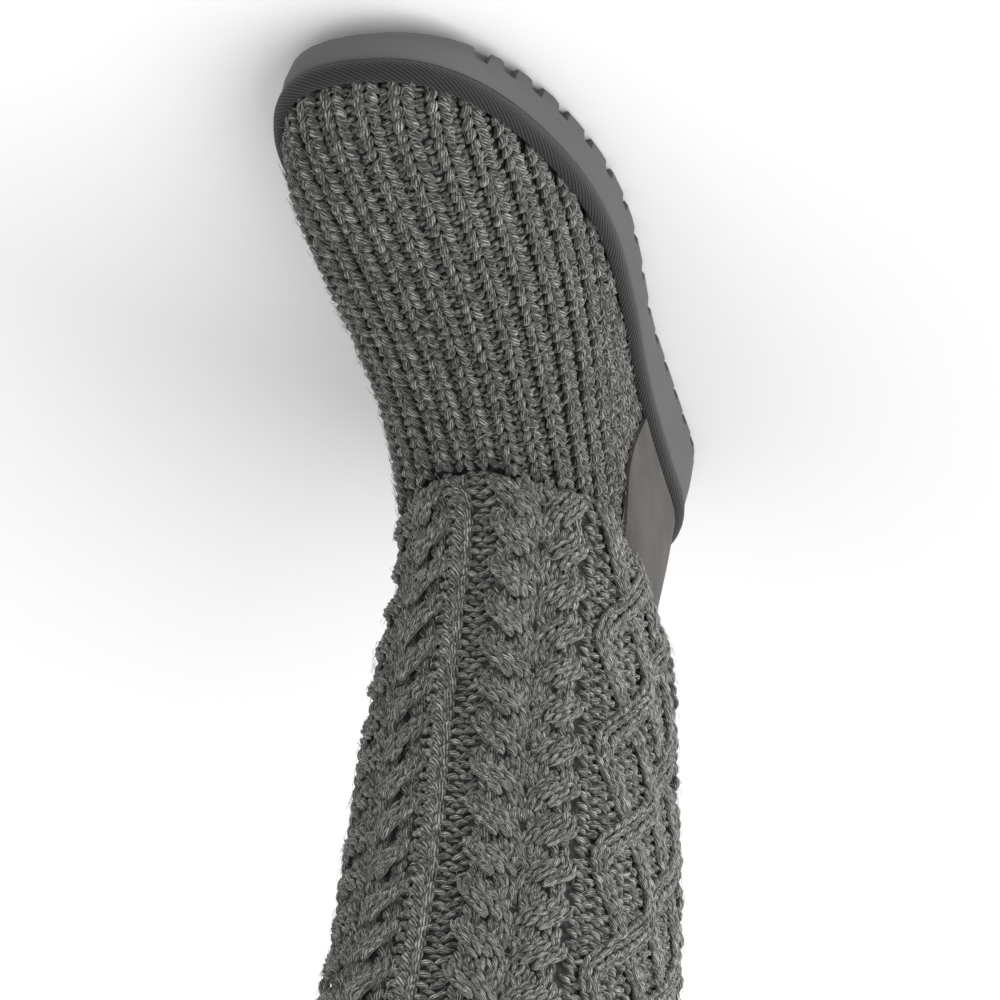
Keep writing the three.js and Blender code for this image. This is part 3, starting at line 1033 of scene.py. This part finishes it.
class BOOT_OT_foot(bpy.types.Operator):
    """Knit the ribbed foot over its ground, painted dark as shade, and its fleece lining."""

    bl_idname = "boot.foot"
    bl_label = "Rib-knit foot"

    def execute(self, context):
        turns = full_turn(FOOT_STEPS)
        rises = np.linspace(0, 1, FOOT_RINGS)
        skin = foot_skin(turns[None, :], rises[:, None])
        normal = foot_normal(turns[None, :], rises[:, None])
        shell = lined_shell("foot_ground", skin, normal, FOOT_GROUND, KNIT_WALL)
        finish_piece(shell, "foot_knit", "foot_upper")
        pitch = knit().rib_pitch / MM
        row = knit().rib_row / MM
        random = np.random.default_rng(SEED)
        legs = []
        for path in rib_paths(np.arange(-RIB_COUNT, RIB_COUNT + 1) * pitch, row):
            points, ahead, normal, side = path_frame(path)
            for hand in (-1, 1):
                jitter = random.normal(0, RIB_JITTER, (len(points), 3))
                outer = points + side * (hand * RIB_OUT * pitch) - ahead * RIB_BACK * row
                inner = points + side * (hand * RIB_IN * pitch) + ahead * RIB_AHEAD * row
                outer = outer - normal * RIB_OUT_SINK + jitter
                inner = inner - normal * RIB_IN_SINK + jitter * 0.5
                made = group(outer, inner, normal, RIB_LEG_WIDTH * path[:, 2], RIB_LEG_THICK, RIB_LEG_ARCH)
                legs.append(kept(made, off_counter(points)))
        for path in rib_paths((np.arange(-RIB_COUNT, RIB_COUNT) + 0.5) * pitch, 0.5 * row):
            points, ahead, normal, side = path_frame(path)
            jitter = random.normal(0, VALLEY_JITTER, (len(points), 3))
            sway = np.where(np.arange(len(points)) % 2, VALLEY_SWAY, -VALLEY_SWAY)[:, None] * pitch
            middle = points - normal * VALLEY_DEPTH + jitter
            ends = [middle + side * (sway + half * pitch) for half in (-VALLEY_HALF, VALLEY_HALF)]
            made = group(*ends, normal, **VALLEY_LEG)
            legs.append(kept(made, off_counter(points)))
        # The foot's legs get a weaker painted shade than the shaft's.
        yarn = yarn_material("foot_yarn", 0.69 * knit().brightness, 0.26)
        add_knitting("foot_rib", "foot_fuzz", joined(legs), yarn, "foot_knit", knit().foot_fuzz, random)
        return {"FINISHED"}


def smooth_step(t):
    t = np.clip(t, 0, 1)
    return t * t * (3 - 2 * t)


# The shaft's chart in millimetres from the middle of the front to the middle of the back, a side at a time.
HEIGHTS = np.arange(-6.0, SHAFT_HEIGHT + 4, 0.5)
KNIT_LOW = -3.0
KNIT_HIGH = SHAFT_HEIGHT - 5
STITCH_OUT, STITCH_IN = 0.37, 0.1
STITCH_BACK, STITCH_AHEAD = 0.6, 0.8
STITCH_OUT_SINK, STITCH_IN_SINK = 1.7, 1.9
STITCH_WIDTH, STITCH_THICK, STITCH_ARCH = 0.58, 2.6, 0.8
STITCH_JITTER, STITCH_JITTER_MOST = 0.24, 0.4
DEEPEST = -2.0
CABLE_HALF = 18.5
CABLE_REPEAT = 15.6
CABLE_OVER = 0.62
CABLE_SWIFT = 0.8
CABLE_EDGE = 0.8
CABLE_CROSS = 0.58
CABLE_REST = 0.7
CABLE_SINK = 3.2
CABLE_STRAND = {"columns": 3, "width": 3.4, "hidden": -1.6, "round_off": 1.5, "shingle": 2.3}
BACKING_OFFSETS = (4.5, 13.5)
BACKING_WIDTH = 6.4
DIAMOND_CENTRES = (68.5, 98.5, HALF_GIRTH)
DIAMOND_SWING = 15.0
DIAMOND_REPEAT = 43.8
DIAMOND_START = 3.0
DIAMOND_BEND = 0.9
DIAMOND_LIFT = 1.4
DIAMOND_CLEAR = 3.4
DIAMOND_STRAND = {"columns": 2, "width": 4.2, "round_off": 1.3}
FRONT_RIB = -5.6
FRONT_RIB_LIFT = -1.5
FRONT_RIB_WIDTH = 7.6
PURL_WIDTH = 4.6
PURL_LEVELS = ((2.9, 2.3), (3.5, 1.9))
PURL_REACH = 0.55
PURL_TILT, PURL_TILT_SPREAD = 0.7, 0.3
PURL_JITTER = 0.2
NARROW_STRIP = 8.0
LATERAL = {
    "hand": 1,
    "cables": ((25.4, 3.2), (138.0, 2.6)),
    "purl": ((-2.2, 7.0), (43.9, 120.0), (156.5, HALF_GIRTH)),
}
MEDIAL = {
    "hand": -1,
    "cables": ((30.6, 3.2), (138.0, 2.6)),
    "purl": ((9.0, 12.3), (49.1, 120.0), (156.5, HALF_GIRTH)),
}


def along_path(chart, height, values, spacing):
    """A strand's path and the values along it, resampled at even steps."""
    arc = arc_length(np.stack([chart, height], axis=1))
    at = np.arange(0.3 * spacing, arc[-1], spacing)
    return [np.interp(at, arc, value) for value in (chart, height, *values)]


def knit_column(chart, height, lifts, width, row, random):
    """The two legs of each stitch of one column along a path on the shaft's chart, with a lift for each leg."""
    d_chart = np.gradient(chart)
    d_height = np.gradient(height)
    size = np.maximum(np.hypot(d_chart, d_height), 1e-6)
    d_chart, d_height = d_chart / size, d_height / size
    normal = shaft_normal(chart, height)

    def beside(out, ahead):
        return shaft_skin(chart + d_height * out + d_chart * ahead, height - d_chart * out + d_height * ahead)

    groups = []
    for hand, lift in zip((-1, 1), lifts):
        start = beside(hand * STITCH_OUT * width, -STITCH_BACK * row)
        end = beside(hand * STITCH_IN * width, STITCH_AHEAD * row)
        jitter = random.normal(0, STITCH_JITTER, (len(chart), 3)).clip(-STITCH_JITTER_MOST, STITCH_JITTER_MOST)
        start = start + normal * (lift - STITCH_OUT_SINK)[:, None] + jitter
        end = end + normal * (lift - STITCH_IN_SINK)[:, None] + jitter
        groups.append(group(start, end, normal, STITCH_WIDTH * width, STITCH_THICK, STITCH_ARCH))
    return groups


def strand(path, lift, row, random, columns, width, hidden=-9.0, round_off=0.0, shingle=0.0):
    """Several columns side by side up one path, rounded off and tipped; stitches that sink too deep are left out."""
    path, lift = (np.broadcast_to(value, HEIGHTS.shape) for value in (path, lift))
    groups = []
    d_chart = np.gradient(path, HEIGHTS)
    lean = np.sqrt(1 + d_chart**2)
    for c in range(columns):
        offset = (c - (columns - 1) / 2) * width
        chart = path + offset / lean
        level = HEIGHTS - offset * d_chart / lean
        chart_e, level_e, lift_e, tip_e = along_path(chart, level, (lift, d_chart / lean), row)
        keep = (lift_e > hidden) & (level_e > KNIT_LOW) & (level_e < KNIT_HIGH)
        if keep.sum() < 3:
            continue
        across = [2 * (c + 0.5 + 0.25 * hand) / columns - 1 for hand in (-1, 1)]
        lifts = [np.maximum(lift_e - round_off * p * p - shingle * p * tip_e, DEEPEST) for p in across]
        groups += [kept(made, keep) for made in knit_column(chart_e, level_e, lifts, width, row, random)]
    return groups


def diamond_path(centre, hand, height):
    wave = np.cos(math.pi * (height - DIAMOND_START) / DIAMOND_REPEAT)
    swing = np.arcsin(DIAMOND_BEND * wave) / math.asin(DIAMOND_BEND)
    return centre + hand * DIAMOND_SWING * swing, swing


def purl_rows(start, end, row, random, diamonds):
    """Waves of reverse knitting that fill a strip of the chart, with a lower row between each two."""
    rows = np.arange(-2.0, KNIT_HIGH, row)
    columns = 1 if end - start < NARROW_STRIP else round((end - start) / PURL_WIDTH)
    width = (end - start) / columns
    groups = []
    for c in range(columns):
        for low, (depth, size) in enumerate(PURL_LEVELS):
            chart = np.full(len(rows), start + (c + (1.0 if low and columns > 1 else 0.5)) * width)
            level = rows + low * 0.5 * row
            keep = np.ones(len(level), bool)
            for centre in diamonds:
                for hand in (-1, 1):
                    path, _ = diamond_path(centre, hand, level)
                    keep &= np.abs(wrap_chart(chart - path)) > DIAMOND_CLEAR
            chart, level = chart[keep], level[keep]
            if len(chart) < 2:
                continue
            normal = shaft_normal(chart, level)
            jitter = random.normal(0, PURL_JITTER, (len(chart), 3))
            tilt = random.normal(PURL_TILT if c % 2 else -PURL_TILT, PURL_TILT_SPREAD, len(chart))
            if columns == 1:
                tilt = tilt * 0.3
            left = shaft_skin(chart - PURL_REACH * width, level + tilt) - normal * depth + jitter
            right = shaft_skin(chart + PURL_REACH * width, level - tilt) - normal * depth + jitter
            if columns > 1 or low:
                groups.append(group(left, right, normal, size, size, 1.0))
                continue
            middle = shaft_skin(chart, level - 1.5) - normal * (depth - 0.8) + jitter
            for side in (left, right):
                groups.append(group(side, middle + (middle - side) * 0.15, normal, size, size, 0.5))
    return groups


def cable_legs(chart, row, random):
    """Braided cables: strands cross over in turn from each edge to the middle, with flat columns behind them."""
    hand = chart["hand"]
    legs = []
    for centre, plump in chart["cables"]:
        for half in (-1, 1):
            for phase in (0, 1):
                u = np.mod(HEIGHTS / CABLE_REPEAT + phase, 2) / 2
                over = u < CABLE_OVER
                way = np.where(over, u / CABLE_OVER / CABLE_SWIFT, (u - CABLE_OVER) / (1 - CABLE_OVER))
                move = smooth_step(way)
                inward = np.where(over, move, 1 - move)
                offset = CABLE_HALF * (CABLE_EDGE - CABLE_CROSS * inward)
                crest = np.sin(math.pi * np.clip(way, 0, 1))
                lift = np.where(over, plump * crest - CABLE_REST, -CABLE_SINK * crest - CABLE_REST)
                legs += strand(hand * (centre + half * offset), lift, row, random, **CABLE_STRAND)
            for offset in BACKING_OFFSETS:
                legs += strand(hand * (centre + half * offset), DEEPEST, row, random, 1, BACKING_WIDTH)
    return legs


def panel_legs(chart, row, random):
    """Lattices of crossing strands, the column down the front, and the reverse knitting between them."""
    hand = chart["hand"]
    legs = []
    for centre in DIAMOND_CENTRES:
        if centre == HALF_GIRTH and hand < 0:
            continue
        for side in (-1, 1):
            path, swing = diamond_path(hand * centre, side, HEIGHTS)
            crossing = np.clip((1 - np.abs(swing)) * 2 - 1, 0, 1)
            rising = np.sin(math.pi * (HEIGHTS - DIAMOND_START) / DIAMOND_REPEAT) * side > 0
            lift = DIAMOND_LIFT + np.where(rising, 1.0, -1.0) * crossing
            legs += strand(path, lift, row, random, **DIAMOND_STRAND)
    if hand > 0:
        legs += strand(FRONT_RIB, FRONT_RIB_LIFT, row, random, 1, FRONT_RIB_WIDTH)
    diamonds = [hand * c for c in DIAMOND_CENTRES]
    for start, end in chart["purl"]:
        low, high = sorted((hand * start, hand * end))
        legs += purl_rows(low, high, row, random, diamonds)
    return legs


class BOOT_OT_shaft(bpy.types.Operator):
    """Knit the cabled shaft over its ground, painted dark as shade, and its fleece lining."""

    bl_idname = "boot.shaft"
    bl_label = "Cable-knit shaft"

    def execute(self, context):
        chart = np.linspace(HALF_GIRTH, -HALF_GIRTH, SHAFT_COLUMNS, endpoint=False)
        height = np.linspace(-1.5, SHAFT_HEIGHT, SHAFT_RINGS)
        skin = shaft_skin(chart[None, :], height[:, None])
        normal = shaft_normal(chart[None, :], np.clip(height, 1, SHAFT_HEIGHT - 1)[:, None])
        flat = unit(normal * np.array([1, 1, 0]))
        shell = lined_shell("shaft_ground", skin, flat, SHAFT_GROUND, SHAFT_WALL + LINING_PILE)
        finish_piece(shell, "shaft_knit", "shaft")
        row = knit().cable_row / MM
        fuzz = knit().shaft_fuzz
        random = np.random.default_rng(SEED)
        # Painted shade: the panels get a darker copy of the shaft's yarn, standing in for the shade over their
        # reverse knitting.
        panel_yarn_painted_shade = yarn_material("panel_yarn_painted_shade", 0.88 * knit().brightness)
        for name, chart in (("lateral", LATERAL), ("medial", MEDIAL)):
            for kind, work, yarn in (("cable", cable_legs, shaft_yarn()), ("panel", panel_legs, panel_yarn_painted_shade)):
                legs = joined(work(chart, row, random))
                add_knitting(f"{kind}s_{name}", f"{kind}_fuzz_{name}", legs, yarn, "shaft_knit", fuzz, random)
        return {"FINISHED"}


# The collar's edge: two rows of slanted legs, each with its level, its depth under the skin and its slant.
COLLAR_DROP = 2.5
COLLAR_STITCHES = 92
COLLAR_REACH = 2.4
COLLAR_ROWS = ((0.0, 1.2, 1.2), (-0.4, 3.1, -1.2))
COLLAR_LEG = {"width": 3.0, "thick": 2.8, "lift": 0.4}
COLLAR_JITTER = 0.15


class BOOT_OT_collar(bpy.types.Operator):
    """Work the cast-off edge round the top of the shaft."""

    bl_idname = "boot.collar"
    bl_label = "Collar edge"

    def execute(self, context):
        random = np.random.default_rng(SEED)
        top = SHAFT_HEIGHT - COLLAR_DROP
        chart = np.linspace(-HALF_GIRTH, HALF_GIRTH, COLLAR_STITCHES, endpoint=False)
        normal = shaft_normal(chart, top - 2)
        legs = []
        for level, sink, lean in COLLAR_ROWS:
            start = shaft_skin(chart - COLLAR_REACH, top + level - lean) - normal * sink
            end = shaft_skin(chart + COLLAR_REACH, top + level + lean) - normal * sink
            jitter = random.normal(0, COLLAR_JITTER, (len(chart), 3))
            legs.append(group(start + jitter, end + jitter, normal + UP, **COLLAR_LEG))
        finish_piece(yarn_object("collar_edge", joined(legs), shaft_yarn()), "shaft_knit")
        return {"FINISHED"}


def across_and_over(back):
    """The level and the upright direction of something that looks away from back."""
    across = unit(np.cross(UP, back))
    return across, np.cross(back, across)


def broad_light(name, source, strength, softness):
    """A far, broad light that shines from a direction."""
    light = bpy.data.lights.new(name, "SUN")
    light.energy = strength
    light.angle = math.radians(softness)
    made = new_object(name, light)
    back = unit(np.array(source, float))
    made.location = back * 3.0
    made.rotation_euler = Matrix((*across_and_over(back), back)).transposed().to_euler()


class BOOT_OT_stage(bpy.types.Operator):
    """Set up the floor, the soft studio light and the camera."""

    bl_idname = "boot.stage"
    bl_label = "Stage"

    def execute(self, context):
        bpy.ops.object.select_all(action="DESELECT")
        bpy.ops.mesh.primitive_plane_add(size=24, location=(0, 0, 0))
        floor = context.active_object
        floor.name = "floor"
        floor.data.materials.append(floor_material(colours().floor))
        floor.select_set(False)
        world = bpy.data.worlds.new("studio")
        world.use_nodes = True
        tree = world.node_tree
        mixed = add_node(tree, "ShaderNodeMixShader")
        feed(tree, mixed.inputs[0], add_node(tree, "ShaderNodeLightPath").outputs["Is Camera Ray"])
        for i, strength in ((1, AMBIENT), (2, 1.0)):
            white = add_node(tree, "ShaderNodeBackground", Color=(1, 1, 1, 1), Strength=strength)
            feed(tree, mixed.inputs[i], white.outputs[0])
        feed(tree, tree.nodes["World Output"].inputs["Surface"], mixed.outputs[0])
        context.scene.world = world
        broad_light("key", source=(-1.0, -0.05, 0.6), strength=2.75, softness=70)
        broad_light("fill", source=(0.5, -0.4, 1.0), strength=0.35, softness=90)
        turn, rise, roll = (math.radians(v) for v in (CAMERA_TURN, CAMERA_RISE, CAMERA_ROLL))
        back = np.array([-math.sin(turn) * math.cos(rise), -math.cos(turn) * math.cos(rise), math.sin(rise)])
        across, over = across_and_over(back)
        right = math.cos(roll) * across + math.sin(roll) * over
        up = -math.sin(roll) * across + math.cos(roll) * over
        aim = place(*CAMERA_AIM) * MM
        lens = bpy.data.cameras.new("camera")
        lens.lens = CAMERA_LENS
        lens.sensor_width = 36
        lens.clip_end = 60
        camera = new_object("camera", lens)
        matrix = Matrix((right, up, back)).transposed().to_4x4()
        matrix.translation = aim + back * CAMERA_DISTANCE * MM
        camera.matrix_world = matrix
        context.scene.camera = camera
        context.scene.view_settings.view_transform = "Standard"
        return {"FINISHED"}


class BOOT_PT_pieces(bpy.types.Panel):
    """Lists the boot's pieces."""

    bl_label = "Knit boot"
    bl_idname = "BOOT_PT_pieces"
    bl_space_type = "VIEW_3D"
    bl_region_type = "UI"
    bl_category = "Boot"

    def draw(self, context):
        for operator in OPERATORS:
            self.layout.operator(operator.bl_idname)


OPERATORS = (
    BOOT_OT_sole,
    BOOT_OT_insole,
    BOOT_OT_tape,
    BOOT_OT_counter,
    BOOT_OT_foot,
    BOOT_OT_shaft,
    BOOT_OT_collar,
    BOOT_OT_stage,
)
CLASSES = (BootKnitSettings, BootColourSettings, *OPERATORS, BOOT_PT_pieces)


def register():
    for made in CLASSES:
        bpy.utils.register_class(made)
    bpy.types.Scene.boot_knit = PointerProperty(type=BootKnitSettings)
    bpy.types.Scene.boot_colours = PointerProperty(type=BootColourSettings)


def unregister():
    del bpy.types.Scene.boot_colours
    del bpy.types.Scene.boot_knit
    for made in reversed(CLASSES):
        bpy.utils.unregister_class(made)


def main():
    register()
    bpy.ops.boot.sole()
    bpy.ops.boot.insole()
    bpy.ops.boot.tape()
    bpy.ops.boot.counter()
    bpy.ops.boot.foot()
    bpy.ops.boot.shaft()
    bpy.ops.boot.collar()
    bpy.ops.boot.stage()


if __name__ == "__main__":
    main()
